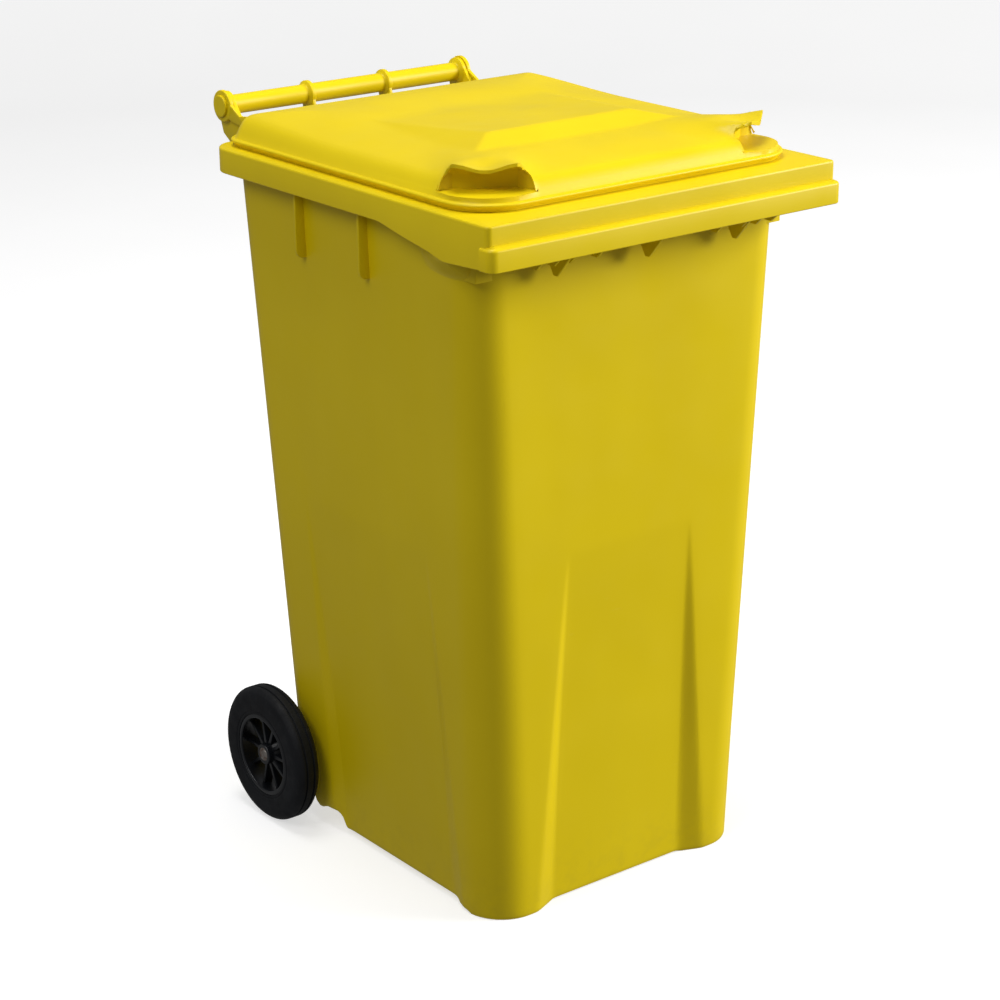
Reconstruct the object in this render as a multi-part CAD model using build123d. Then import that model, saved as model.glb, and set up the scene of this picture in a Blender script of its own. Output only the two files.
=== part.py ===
from build123d import *
import math
import os

# Wheelie bin with two wheels and a hinged lid, about 240 litres. Millimetres.
# While a piece is built, Y runs from 0 at the front of the comb lip towards the handle.
# save() moves it so that the origin is at the middle of the base. X is the width, Z is up.
# Left is -X and right is +X, as seen by someone in front of the bin.

# Body shell: straight tapered walls, given at two heights
LOW_Z = 10.0
HIGH_Z = 930.0
LOW_HALF_WIDTH = 226.8
HIGH_HALF_WIDTH = 254.7
LOW_FRONT_Y = 90.0
HIGH_FRONT_Y = 72.4
LOW_REAR_Y = 560.2
HIGH_REAR_Y = 613.2
FRONT_CORNER = 59.0
REAR_CORNER = 43.0
WALL = 4.0

# Floor, feet and the step up in the floor ahead of the axle
BASE_Z = 14.0
FOOT_FLOOR = 4.0
FOOT_INNER_X = 130.0
FOOT_REAR_Y = 155.0
STEP_Y = 440.0
STEP_Z = 36.0

# Shallow recesses pressed into the lower front and side panels
RECESS_TOP_Z = 500.0
FRONT_RECESS_DEPTH = 13.0
FRONT_RECESS_HALF_TOP = 106.0
FRONT_RECESS_HALF_BOTTOM = 142.0
SIDE_RECESS_DEPTH = 11.0
SIDE_RECESS_FRONT_TOP = 202.0
SIDE_RECESS_FRONT_BOTTOM = 158.0
SIDE_RECESS_REAR_TOP = 483.0
SIDE_RECESS_REAR_BOTTOM = 462.0
CREASE = 30.0

# Rim and comb lip
RIM_TOP = 984.5
RIM_BOTTOM = 951.0
RIM_HALF_WIDTH = 286.0
RIM_FRONT_Y = 10.6
RIM_REAR_Y = 628.0
RIM_REAR_CORNER = 40.0
RIM_PLATE = 5.0
LIP_HALF_WIDTH = 289.0
LIP_TOP = 959.0
LIP_BOTTOM = 929.5
GUSSET_X = (-148.5, 0.0, 148.5)
COMB_RIB_X = (99.0, 142.0, 167.0, 194.0, 221.0, 249.0)
RIB = 4.0
SIDE_RIB_Y = (316.0, 460.0)

# Handle bar, which is also the lid's hinge axis
HANDLE_Y = 712.0
HANDLE_Z = 1014.5
BAR_RADIUS = 13.5
WEB_X = 66.4
WEB_RADIUS = 18.5
CHEEK_INNER_X = 197.0
CHEEK_OUTER_X = 203.0
CHEEK_RADIUS = 20.0
EYE_RADIUS = 22.0
EYE_INNER_X = 203.4
EYE_OUTER_X = 209.4
PIN_RADIUS = 8.0
PIN_INNER_X = 165.0
PIN_HEAD_X = 213.2

# Lid
LID_BOTTOM = 985.0
LID_HALF_WIDTH = 270.0
LID_FRONT_Y = 52.0
LID_REAR_Y = 622.0
LID_FRONT_CORNER = 70.0
LID_REAR_CORNER = 40.0
FLANGE_TOP = 994.0
BEAD_TOP = 998.0
DOME_EDGE_Z = 1018.0
CROWN_Z = 1028.0
PANEL_Z = 1042.0
LID_WALL = 3.5

# Lid grip: a visor across each front corner, with a finger pocket under it
GRIP_X = 223.5
GRIP_Y = 94.5
GRIP_TURN = math.degrees(math.atan2(51.0, 71.0))
GRIP_HALF_WIDTH = 43.7
GRIP_TIP_Z = 1034.0
GRIP_TIP_THICKNESS = 7.5
GRIP_LENGTH = 95.0
POCKET_DEPTH = 30.0
POCKET_FLOOR = 1000.0

# Axle and wheels
AXLE_Y = 562.3
AXLE_Z = 100.0
AXLE_RADIUS = 10.0
AXLE_HALF_LENGTH = 281.0
BOSS_RADIUS = 17.0
TROUGH_Y = 531.0
TROUGH_Z = 128.0
BRACKET_X = (-140.0, -50.0, 50.0, 140.0)
WASHER_INNER_X = 229.9
WASHER_OUTER_X = 232.9
WASHER_RADIUS = 16.0
TYRE_RADIUS = 100.0
TYRE_BORE = 61.0
TYRE_INNER_X = 245.0
TYRE_OUTER_X = 284.0
RIM_OPENING = 54.0
HUB_INNER_X = 233.3
HUB_OUTER_X = 280.5
HUB_RADIUS = 15.0
SPOKES = 8

# Snap lock of each wheel: a sprung pin in the hub that drops into a groove of the axle
LOCK_X = 242.0
LOCK_RADIUS = 3.0
LOCK_TIP = 7.6
LOCK_TOP = 19.0
LOCK_TRAVEL = 3.0
SPRING_TOP = 31.0
CAP_TOP = 36.0
GROOVE_RADIUS = 7.2
GROOVE_WIDTH = 7.0

# Transponder nest under the comb lip
NEST_X = 120.5
NEST_Y = 40.0
NEST_RADIUS = 18.0
NEST_DEPTH = 16.0
CHIP_RADIUS = 14.9

RUNNING_FIT = 0.06
SNUG_FIT = 0.03
DEPTH = HANDLE_Y + EYE_RADIUS


def block(x0, x1, y0, y1, z0, z1):
    """A box given by its limits."""
    centre = Pos((x0 + x1) / 2, (y0 + y1) / 2, (z0 + z1) / 2)
    return centre * Box(abs(x1 - x0), abs(y1 - y0), abs(z1 - z0))


def plate(points, x0, x1):
    """A flat plate across the width: an outline of (y, z) points, from x0 to x1."""
    outline = make_face(Polyline(*points, close=True))
    return extrude(Plane.YZ.offset(x0) * outline, amount=x1 - x0)


def rod(y, z, radius, x0, x1):
    """A round bar across the width, from x0 to x1."""
    return extrude(Plane.YZ.offset(x0) * Pos(y, z) * Circle(radius), amount=x1 - x0)


def post(x, y, radius, z0, z1):
    """An upright round bar from z0 to z1."""
    return extrude(Pos(x, y, z0) * Circle(radius), amount=z1 - z0)


def both_sides(shape):
    """A right-hand shape together with its left-hand mirror image."""
    return shape + mirror(shape, about=Plane.YZ)


def outline(half_width, front, rear, front_radius, rear_radius, z):
    """A rounded rectangle in plan, with one radius at the front corners and one at the rear."""
    w, f, r = half_width, front_radius, rear_radius
    bulge = 1 - math.sqrt(0.5)
    edges = [
        Line((-w + f, front, z), (w - f, front, z)),
        ThreePointArc((w - f, front, z), (w - f * bulge, front + f * bulge, z), (w, front + f, z)),
        Line((w, front + f, z), (w, rear - r, z)),
        ThreePointArc((w, rear - r, z), (w - r * bulge, rear - r * bulge, z), (w - r, rear, z)),
        Line((w - r, rear, z), (-w + r, rear, z)),
        ThreePointArc((-w + r, rear, z), (-w + r * bulge, rear - r * bulge, z), (-w, rear - r, z)),
        Line((-w, rear - r, z), (-w, front + f, z)),
        ThreePointArc((-w, front + f, z), (-w + f * bulge, front + f * bulge, z), (-w + f, front, z)),
    ]
    return Wire(edges)


def slab(half_width, front, rear, front_radius, rear_radius, z0, z1):
    """An upright-sided slab with a rounded rectangular plan."""
    face = Face(outline(half_width, front, rear, front_radius, rear_radius, z0))
    return extrude(face, amount=z1 - z0, dir=(0, 0, 1))


def share(z):
    """How far up the tapered walls a height is: 0 at LOW_Z and 1 at HIGH_Z."""
    return (z - LOW_Z) / (HIGH_Z - LOW_Z)


def half_width_at(z):
    return LOW_HALF_WIDTH + (HIGH_HALF_WIDTH - LOW_HALF_WIDTH) * share(z)


def front_at(z):
    return LOW_FRONT_Y + (HIGH_FRONT_Y - LOW_FRONT_Y) * share(z)


def rear_at(z):
    return LOW_REAR_Y + (HIGH_REAR_Y - LOW_REAR_Y) * share(z)


def tub(inset, z0, z1):
    """The tapered tub as one filled block, drawn in all round by inset."""
    rings = [
        outline(half_width_at(z) - inset, front_at(z) + inset, rear_at(z) - inset,
                FRONT_CORNER - inset, REAR_CORNER - inset, z)
        for z in (z0, z1)
    ]
    return Solid.make_loft(rings, ruled=True)


def front_recess(inset):
    """The wedge taken out of the lower front panel; inset moves it into the tub."""
    z0 = -20.0
    rings = []
    for z, half, depth in ((z0, FRONT_RECESS_HALF_BOTTOM, FRONT_RECESS_DEPTH),
                           (RECESS_TOP_Z, FRONT_RECESS_HALF_TOP, 0.2)):
        y = front_at(z) + inset
        crease = CREASE * depth / FRONT_RECESS_DEPTH
        points = [(-half, y - 20, z), (-half, y, z), (-half + crease, y + depth, z),
                  (half - crease, y + depth, z), (half, y, z), (half, y - 20, z)]
        rings.append(Wire(Polyline(*points, close=True).edges()))
    return Solid.make_loft(rings, ruled=True)


def side_recess(inset):
    """The wedge taken out of the lower right-hand side panel; inset moves it into the tub."""
    z0 = -20.0
    rings = []
    for z, front, rear, depth in (
            (z0, SIDE_RECESS_FRONT_BOTTOM, SIDE_RECESS_REAR_BOTTOM, SIDE_RECESS_DEPTH),
            (RECESS_TOP_Z, SIDE_RECESS_FRONT_TOP, SIDE_RECESS_REAR_TOP, 0.2)):
        x = half_width_at(z) - inset
        crease = CREASE * depth / SIDE_RECESS_DEPTH
        points = [(x + 20, front, z), (x, front, z), (x - depth, front + crease, z),
                  (x - depth, rear - crease, z), (x, rear, z), (x + 20, rear, z)]
        rings.append(Wire(Polyline(*points, close=True).edges()))
    return Solid.make_loft(rings, ruled=True)


def tub_outside():
    """The outside of the tub: recessed panels, corner feet, step and axle trough."""
    solid = tub(0, 0, RIM_TOP) - front_recess(0) - both_sides(side_recess(0))
    solid -= block(-400, 400, FOOT_REAR_Y, 800, -1, BASE_Z)
    solid -= block(-FOOT_INNER_X, FOOT_INNER_X, 0, FOOT_REAR_Y + 1, -1, BASE_Z)
    solid -= block(-400, 400, STEP_Y, TROUGH_Y, -1, STEP_Z)
    inside = half_width_at(AXLE_Z) - WALL
    solid -= block(-inside, inside, TROUGH_Y, 800, -1, TROUGH_Z)
    return solid


def cavity():
    """The space that the rubbish goes in."""
    deep = WALL
    solid = tub(WALL, FOOT_FLOOR, RIM_TOP + 20) - front_recess(deep) - both_sides(side_recess(deep))
    solid -= block(-400, 400, FOOT_REAR_Y - WALL, 800, 0, BASE_Z + WALL)
    solid -= block(-FOOT_INNER_X - WALL, FOOT_INNER_X + WALL, 0, FOOT_REAR_Y, 0, BASE_Z + WALL)
    solid -= block(-400, 400, STEP_Y - WALL, 800, 0, STEP_Z + WALL)
    solid -= block(-400, 400, TROUGH_Y - WALL, 800, 0, TROUGH_Z + WALL)
    return solid


def rim():
    """The turned-over rim: a top plate and a skirt, deeper where it meets the front corners."""
    top = slab(RIM_HALF_WIDTH, RIM_FRONT_Y, RIM_REAR_Y, 5, RIM_REAR_CORNER, RIM_BOTTOM, RIM_TOP)
    under = slab(RIM_HALF_WIDTH - WALL, RIM_FRONT_Y + WALL, RIM_REAR_Y - WALL, 2,
                 RIM_REAR_CORNER - WALL, RIM_BOTTOM - 1, RIM_TOP - RIM_PLATE)
    corner = plate([(RIM_FRONT_Y, LIP_BOTTOM), (112, 922), (129, 932), (183, 941), (234, RIM_BOTTOM),
                    (234, RIM_TOP - 1), (RIM_FRONT_Y, RIM_TOP - 1)],
                   RIM_HALF_WIDTH - WALL, RIM_HALF_WIDTH)
    return top - under + both_sides(corner)


def shoulder():
    """The sloping wall that joins the deep front end of the skirt to the side wall."""
    x = half_width_at(870) - 1
    profile = Polyline((x, 866), (RIM_HALF_WIDTH, 924), (RIM_HALF_WIDTH, 934),
                       (RIM_HALF_WIDTH - WALL, 934), (RIM_HALF_WIDTH - WALL, 928), (x, 873), close=True)
    face = Plane.XZ.offset(-70) * make_face(profile)
    return extrude(face, amount=50, dir=(0, 1, 0))


def comb_lip():
    """The lower step of the front lip, with the gussets and comb ribs that hang inside it."""
    lower = block(-LIP_HALF_WIDTH, LIP_HALF_WIDTH, 0, RIM_FRONT_Y + WALL, LIP_BOTTOM, LIP_TOP)
    lower = fillet(lower.edges().filter_by(Axis.Z).group_by(Axis.Y)[0], 12)
    lower -= block(-LIP_HALF_WIDTH + 12, LIP_HALF_WIDTH - 12, WALL, RIM_FRONT_Y + WALL + 1,
                   LIP_BOTTOM - 1, LIP_TOP - WALL)
    solid = lower
    wall = front_at(HIGH_Z) + WALL / 2
    for x in GUSSET_X:
        solid += plate([(8, LIP_BOTTOM + 3), (8, 956), (20, 981), (wall, 981), (wall, 885)],
                       x - RIB / 2, x + RIB / 2)
    for x in COMB_RIB_X:
        rib = plate([(8, LIP_BOTTOM + 2), (8, 956), (20, 981), (48, 981), (44, 911), (30, 911)],
                    x - RIB / 2, x + RIB / 2)
        solid += both_sides(rib)
    corner_rib = plate([(20, 981), (110, 981), (110, 884), (64, 880), (58, 925), (20, 932)], 240, 244)
    return solid + both_sides(corner_rib)


def side_ribs():
    """Two upright ribs under the rim on the right-hand side."""
    solid = None
    for y in SIDE_RIB_Y:
        x = half_width_at(857) - 2
        outer = half_width_at(HIGH_Z) + 18
        profile = Polyline((x, 857), (outer - 6, 860), (outer, 870), (outer, 981), (x, 981), close=True)
        face = Plane.XZ.offset(-y) * make_face(profile)
        rib = extrude(face, amount=5, dir=(0, 1, 0))
        solid = rib if solid is None else solid + rib
    return solid


def handle():
    """The hollow-ended bar with its two webs and two cheeks, which carry it off the rear of the rim."""
    y, z = HANDLE_Y, HANDLE_Z
    solid = rod(y, z, BAR_RADIUS, -CHEEK_OUTER_X, CHEEK_OUTER_X)
    for x in (-WEB_X, WEB_X):
        solid += rod(y, z, WEB_RADIUS, x - 3, x + 3)
        solid += plate([(616, 953), (616, 979), (634, 981), (y - 14, z + 10), (y + 8, z - 14), (668, 957)],
                       x - 3, x + 3)
    cheek = rod(y, z, CHEEK_RADIUS, CHEEK_INNER_X, CHEEK_OUTER_X)
    cheek += plate([(616, 951), (616, 979), (634, 981), (y - 15, z + 12), (y + 18, z - 6), (y + 16, 992),
                    (y + 10, 975), (y - 8, 964), (664, 953)], CHEEK_INNER_X, CHEEK_OUTER_X)
    solid += both_sides(cheek)
    pin_hole = rod(y, z, PIN_RADIUS + SNUG_FIT, PIN_INNER_X - 2, CHEEK_OUTER_X + 1)
    return solid - both_sides(pin_hole)


def axle_brackets():
    """Ribs across the trough and a boss at each side wall, bored for the axle."""
    y, z = AXLE_Y, AXLE_Z
    outer = WASHER_INNER_X - 0.3
    inner = half_width_at(AXLE_Z) - WALL
    boss = rod(y, z, BOSS_RADIUS, inner - 20, outer)
    boss += plate([(TROUGH_Y - 1, 70), (TROUGH_Y - 1, TROUGH_Z + 1), (y + 4, TROUGH_Z + 1), (y + 14, z + 8),
                   (y + 12, z - 12)], inner - 4, inner + 1)
    solid = both_sides(boss)
    for x in BRACKET_X:
        solid += rod(y, z, BOSS_RADIUS, x - 4, x + 4)
        solid += plate([(TROUGH_Y - 1, 60), (TROUGH_Y - 1, TROUGH_Z + 1), (y + 2, TROUGH_Z + 1),
                        (y + 15, z + 8), (y + 10, z - 13)], x - 4, x + 4)
    return solid


def transponder_nest():
    """A cup under the lip's top plate that opens downwards."""
    cup = post(NEST_X, NEST_Y, NEST_RADIUS, RIM_TOP - RIM_PLATE - NEST_DEPTH, RIM_TOP - 1)
    hollow = post(NEST_X, NEST_Y, CHIP_RADIUS + 0.1, RIM_TOP - RIM_PLATE - NEST_DEPTH - 1,
                  RIM_TOP - RIM_PLATE)
    return cup, hollow


def body():
    """The one moulding that is the tub, rim, comb lip and handle."""
    cup, hollow = transponder_nest()
    solid = tub_outside() + rim() + comb_lip() + both_sides(side_ribs()) + both_sides(shoulder())
    solid = solid + cup - hollow
    solid = solid - cavity()
    solid = solid + handle() + axle_brackets()
    return solid - rod(AXLE_Y, AXLE_Z, AXLE_RADIUS + SNUG_FIT, -300, 300)


def grip_frame():
    """A work plane at the middle of the right-hand grip: X runs out to the corner, Y is up."""
    turn = math.radians(GRIP_TURN)
    outwards = (math.sin(turn), -math.cos(turn), 0)
    along = (math.cos(turn), math.sin(turn), 0)
    return Plane(origin=(GRIP_X, GRIP_Y, 0), x_dir=outwards, z_dir=(-along[0], -along[1], 0))


def grip_prism(points, half_width):
    """A prism across the corner: points are (distance outwards, height)."""
    face = grip_frame() * make_face(Polyline(*points, close=True))
    return extrude(face, amount=half_width, both=True)


def lid_form(inset):
    """The lid as one filled block; inset draws every face in for the hollow underneath."""
    z0 = LID_BOTTOM - (1 if inset else 0)

    def ring(extra, z):
        grow = inset + extra
        return outline(LID_HALF_WIDTH - grow, LID_FRONT_Y + grow, LID_REAR_Y - grow,
                       LID_FRONT_CORNER - grow, LID_REAR_CORNER - grow, z - inset)

    solid = slab(LID_HALF_WIDTH - inset, LID_FRONT_Y + inset, LID_REAR_Y - inset,
                 LID_FRONT_CORNER - inset, LID_REAR_CORNER - inset, z0, FLANGE_TOP - inset)
    solid += Solid.make_loft([ring(5, FLANGE_TOP - 1), ring(6, BEAD_TOP)], ruled=True)
    solid += Solid.make_loft([ring(6, BEAD_TOP - 0.5), ring(25, DOME_EDGE_Z)], ruled=True)
    crown = outline(165 - inset, 188 + inset, 540 - inset, 30, 30, CROWN_Z - inset)
    solid += Solid.make_loft([ring(25, DOME_EDGE_Z), crown], ruled=True)
    panel = plate([(190 + inset, 1010), (191.5 + inset, CROWN_Z - inset), (222, PANEL_Z - inset),
                   (532, CROWN_Z - 2 - inset), (532, 1010)], -162 + inset, 162 - inset)
    hip = Polyline((132 - inset, 1043), (162 - inset, CROWN_Z - inset), (190, CROWN_Z), (190, 1060),
                   (132 - inset, 1060), close=True)
    cut = extrude(Plane.XZ.offset(-100) * make_face(hip), amount=500, dir=(0, 1, 0))
    solid += panel - both_sides(cut)
    wing = grip_prism([(-GRIP_LENGTH, 1005), (-GRIP_LENGTH, 1019 - inset), (-inset, GRIP_TIP_Z - inset),
                       (-inset, 1005)], GRIP_HALF_WIDTH - inset)
    solid += both_sides(wing)
    pocket_top = GRIP_TIP_Z - GRIP_TIP_THICKNESS
    pocket = grip_prism([(-POCKET_DEPTH - inset, POCKET_FLOOR - inset),
                         (-POCKET_DEPTH - inset, pocket_top - 2 + inset), (0, pocket_top + inset),
                         (3, 1050), (90, 1050), (90, POCKET_FLOOR - inset)],
                        GRIP_HALF_WIDTH - LID_WALL + inset)
    return solid - both_sides(pocket)


def lid_arm():
    """The right-hand hinge arm of the lid, ending in the eye that turns on the hinge pin."""
    y, z = HANDLE_Y, HANDLE_Z
    arm = plate([(600, 988), (600, 1005), (651, 1008.5), (678, 1006), (y - 12, z + 18), (y - 4, z - 20),
                 (688, 997), (651, 991), (622, 987)], EYE_INNER_X, EYE_OUTER_X)
    arm += rod(y, z, EYE_RADIUS, EYE_INNER_X, EYE_OUTER_X)
    return arm


def lid():
    """The lid shell with its two hinge arms."""
    solid = lid_form(0) - lid_form(LID_WALL) + both_sides(lid_arm())
    bore = rod(HANDLE_Y, HANDLE_Z, PIN_RADIUS + RUNNING_FIT, EYE_INNER_X - 1, EYE_OUTER_X + 1)
    return solid - both_sides(bore)


def hinge_pin():
    """A headed pin through the right-hand lid eye into the end of the handle bar."""
    y, z = HANDLE_Y, HANDLE_Z
    shaft = rod(y, z, PIN_RADIUS, PIN_INNER_X, EYE_OUTER_X + 0.5)
    head = rod(y, z, PIN_RADIUS + 7, EYE_OUTER_X + 0.4, PIN_HEAD_X)
    head = fillet(head.edges().group_by(Axis.X)[-1], 1.2)
    return shaft + head


def axle():
    """A steel bar with a lock groove near each end."""
    bar = rod(AXLE_Y, AXLE_Z, AXLE_RADIUS, -AXLE_HALF_LENGTH, AXLE_HALF_LENGTH)
    bar = chamfer(bar.edges().filter_by(GeomType.CIRCLE), 1.0)
    x0 = LOCK_X - GROOVE_WIDTH / 2
    x1 = LOCK_X + GROOVE_WIDTH / 2
    groove = rod(AXLE_Y, AXLE_Z, AXLE_RADIUS + 1, x0, x1) - rod(AXLE_Y, AXLE_Z, GROOVE_RADIUS, x0 - 1, x1 + 1)
    return bar - both_sides(groove)


def washer():
    """The spacer washer between the right-hand boss and wheel."""
    ring = rod(AXLE_Y, AXLE_Z, WASHER_RADIUS, WASHER_INNER_X, WASHER_OUTER_X)
    return ring - rod(AXLE_Y, AXLE_Z, AXLE_RADIUS + 0.3, WASHER_INNER_X - 1, WASHER_OUTER_X + 1)


def tyre():
    """The solid rubber tyre of the right-hand wheel, with rounded shoulders."""
    ring = rod(AXLE_Y, AXLE_Z, TYRE_RADIUS, TYRE_INNER_X, TYRE_OUTER_X)
    ring = fillet(ring.edges().filter_by(GeomType.CIRCLE), 8)
    return ring - rod(AXLE_Y, AXLE_Z, TYRE_BORE + SNUG_FIT, TYRE_INNER_X - 1, TYRE_OUTER_X + 1)


def wheel_rim():
    """The moulded right-hand wheel: rim, spokes, hub and the tower that holds the snap lock."""
    y, z = AXLE_Y, AXLE_Z
    solid = rod(y, z, TYRE_BORE, TYRE_INNER_X + 1, TYRE_OUTER_X - 1)
    solid -= rod(y, z, TYRE_BORE - 4, TYRE_INNER_X, TYRE_OUTER_X - 5)
    solid -= rod(y, z, RIM_OPENING, TYRE_OUTER_X - 6, TYRE_OUTER_X)
    solid += rod(y, z, HUB_RADIUS, HUB_INNER_X, HUB_OUTER_X)
    solid += rod(y, z, HUB_RADIUS + 7, HUB_INNER_X, 261)
    solid += post(LOCK_X, y, 6.5, z, z + CAP_TOP)
    spoke = block(256, 272, y - 3, y + 3, z + HUB_RADIUS - 2, z + TYRE_BORE - 3)
    for k in range(SPOKES):
        turn = Pos(0, y, z) * Rot(360 * (k + 0.5) / SPOKES, 0, 0) * Pos(0, -y, -z)
        solid += turn * spoke
    solid -= rod(y, z, AXLE_RADIUS + RUNNING_FIT, HUB_INNER_X - 1, HUB_OUTER_X + 1)
    return solid - post(LOCK_X, y, LOCK_RADIUS + RUNNING_FIT, z, z + CAP_TOP + 1)


def lock_pin():
    """The sprung pin of the right-hand wheel, with its tip in the axle's groove."""
    pin = post(LOCK_X, AXLE_Y, LOCK_RADIUS, AXLE_Z + LOCK_TIP, AXLE_Z + LOCK_TOP)
    return chamfer(pin.edges().group_by(Axis.Z)[0], 0.6)


def lock_spring():
    """The coil spring above the lock pin."""
    wire_radius = 0.3
    coil = LOCK_RADIUS - 0.75
    z0 = AXLE_Z + LOCK_TOP + wire_radius
    height = SPRING_TOP - LOCK_TOP - 2 * wire_radius
    path = Helix(pitch=height / 5, height=height, radius=coil)
    profile = Plane(origin=path @ 0, z_dir=path % 0) * Circle(wire_radius)
    return Pos(LOCK_X, AXLE_Y, z0) * sweep(profile, path=path)


def lock_cap():
    """The plug that closes the lock's tower and backs the spring."""
    return post(LOCK_X, AXLE_Y, LOCK_RADIUS + SNUG_FIT, AXLE_Z + SPRING_TOP + 0.05, AXLE_Z + CAP_TOP)


def transponder():
    """The sealed identification chip in the nest."""
    top = RIM_TOP - RIM_PLATE - 0.1
    return post(NEST_X, NEST_Y, CHIP_RADIUS, top - 4, top)


def transponder_plug():
    """The snap-in plug that closes the nest."""
    top = RIM_TOP - RIM_PLATE - 4.3
    rim_z = RIM_TOP - RIM_PLATE - NEST_DEPTH
    disc = post(NEST_X, NEST_Y, CHIP_RADIUS, rim_z, top)
    return disc - post(NEST_X, NEST_Y, CHIP_RADIUS - 3, rim_z - 1, top - 3)


def save(name, shape):
    """Write one piece, moved so that the origin is at the middle of the base."""
    export_step(Pos(0, -DEPTH / 2, 0) * shape, f"parts/{name}.step")


def save_pair(name, shape):
    """Write the right-hand piece and its left-hand mirror image."""
    save(f"{name}_right", shape)
    save(f"{name}_left", mirror(shape, about=Plane.YZ))


os.makedirs("parts", exist_ok=True)
save("body", body())
save("lid", lid())
save("axle", axle())
save("transponder", transponder())
save("transponder_plug", transponder_plug())
save_pair("hinge_pin", hinge_pin())
save_pair("axle_washer", washer())
save_pair("tyre", tyre())
save_pair("wheel_rim", wheel_rim())
save_pair("lock_pin", lock_pin())
save_pair("lock_spring", lock_spring())
save_pair("lock_cap", lock_cap())
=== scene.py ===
import math

import bmesh
import bpy
from mathutils import Matrix, Vector


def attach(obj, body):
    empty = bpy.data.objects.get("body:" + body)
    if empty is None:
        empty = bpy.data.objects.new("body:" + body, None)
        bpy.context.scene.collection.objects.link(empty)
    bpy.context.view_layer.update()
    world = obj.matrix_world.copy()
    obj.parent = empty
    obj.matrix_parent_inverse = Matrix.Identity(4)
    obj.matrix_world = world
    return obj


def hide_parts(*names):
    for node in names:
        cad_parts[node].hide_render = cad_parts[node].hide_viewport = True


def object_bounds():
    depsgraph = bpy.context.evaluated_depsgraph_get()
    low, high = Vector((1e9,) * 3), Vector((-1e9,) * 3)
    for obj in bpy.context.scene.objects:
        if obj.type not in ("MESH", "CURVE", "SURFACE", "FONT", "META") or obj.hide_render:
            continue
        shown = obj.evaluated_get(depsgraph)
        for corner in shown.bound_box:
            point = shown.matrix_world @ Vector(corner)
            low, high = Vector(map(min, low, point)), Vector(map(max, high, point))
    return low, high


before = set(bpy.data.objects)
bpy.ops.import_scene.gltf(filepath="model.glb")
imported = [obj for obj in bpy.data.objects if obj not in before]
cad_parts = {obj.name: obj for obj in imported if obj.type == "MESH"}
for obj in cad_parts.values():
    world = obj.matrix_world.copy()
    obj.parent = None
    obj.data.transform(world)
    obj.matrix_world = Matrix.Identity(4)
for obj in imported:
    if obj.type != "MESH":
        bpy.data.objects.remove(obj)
cad_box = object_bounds()

# Sizes are in millimetres. X is the width, Y runs back from the front of the comb lip, Z is up.
# place() turns them into the frame's metres.
MM = 0.001
FRONT = cad_box[0].y

# Tub: straight tapered walls, given at two heights
LOW_Z, HIGH_Z = 10.0, 930.0
HALF_WIDTH = (225.0, 260.0)
FRONT_Y = (90.0, 72.4)
REAR_Y = (565.0, 613.2)
FRONT_CORNER = (63.0, 50.0)
REAR_CORNER = 43.0
WALL = 4.0
BASE_Z = 9.0
FRONT_EDGE_Z = 2.0
FOOT_X, FOOT_Y = 125.0, 155.0
RECESS_TOP = 510.0
FRONT_RECESS, SIDE_RECESS = 14.0, 7.0
# The recesses' creases, at the top of the recess and at the ground
FRONT_CREASE_X, FRONT_CREASE_WIDTH = (106.0, 149.0), (3.0, 34.0)
SIDE_CREASE_FRONT, SIDE_CREASE_REAR, SIDE_CREASE_WIDTH = (202.0, 158.0), (483.0, 462.0), (3.0, 28.0)
CREASE_ROUNDING = 3.0
# Up to this height the tub's rings of points follow its lower edge
EDGE_ZONE = 160.0
STEP_Y, STEP_Z = 440.0, 36.0
TROUGH_Y, TROUGH_Z = 531.0, 128.0

# Rim and comb lip
RIM_TOP, RIM_BOTTOM = 984.5, 951.0
RIM_HALF, RIM_FRONT, RIM_REAR = 286.0, 10.6, 628.0
RIM_FRONT_CORNER, RIM_REAR_CORNER = 8.0, 40.0
LIP_HALF, LIP_TOP, LIP_BOTTOM = 289.0, 959.0, 929.5
LIP_CORNER, LIP_BACK = 12.0, 24.0
GUSSET_X = (-148.5, 0.0, 148.5)
COMB_RIB_X = (99.0, 142.0, 167.0, 194.0, 221.0, 249.0)
SIDE_RIB_Y = (297.0, 441.0)

# Handle bar, on the lid's hinge axis
HANDLE_Y, HANDLE_Z = 712.0, 1014.5
BAR_RADIUS = 13.5
WEB_X, WEB_RADIUS = 66.4, 18.5
CHEEK_X, CHEEK_RADIUS = (197.0, 203.0), 20.0
EYE_X, EYE_RADIUS = (203.4, 209.4), 22.0
PIN_RADIUS = 8.0

# Lid
LID_BOTTOM = 985.0
LID_HALF, LID_FRONT, LID_REAR = 270.0, 52.0, 622.0
LID_FRONT_CORNER, LID_REAR_CORNER = 70.0, 40.0
LID_WALL = 3.5
BEAD_Z, DOME_EDGE = 998.0, 1019.0
CROWN = 8.5
REAR_RISE = 0.28
PANEL_TOP, PANEL_REAR = 1041.5, 1022.0
PANEL_BASE, PANEL_BASE_REAR = 1027.5, 1019.0
PANEL_FRONT, PANEL_SLOPE, PANEL_HALF, PANEL_HIP, PANEL_END = 187.0, 40.0, 168.0, 49.0, 560.0

# Lid grip: a hood across each front corner over a finger pocket
GRIP_X, GRIP_Y = 223.5, 94.5
GRIP_TURN = math.atan2(51.0, 71.0)
GRIP_RISE, GRIP_SAG = 19.0, 8.0
GRIP_RUN = 195.0
POCKET_FLOOR = 1001.5
POCKET_DEPTH = 30.0

# Wheels
AXLE_Y, AXLE_Z = 562.3, 100.0
BOSS_RADIUS = 17.0
TYRE_RADIUS, TYRE_BORE = 100.0, 61.0
TYRE_X = (245.0, 284.0)
HUB_X, HUB_RADIUS = (233.3, 280.5), 15.0
LOCK_X = 242.0
SPOKES = 10


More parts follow.
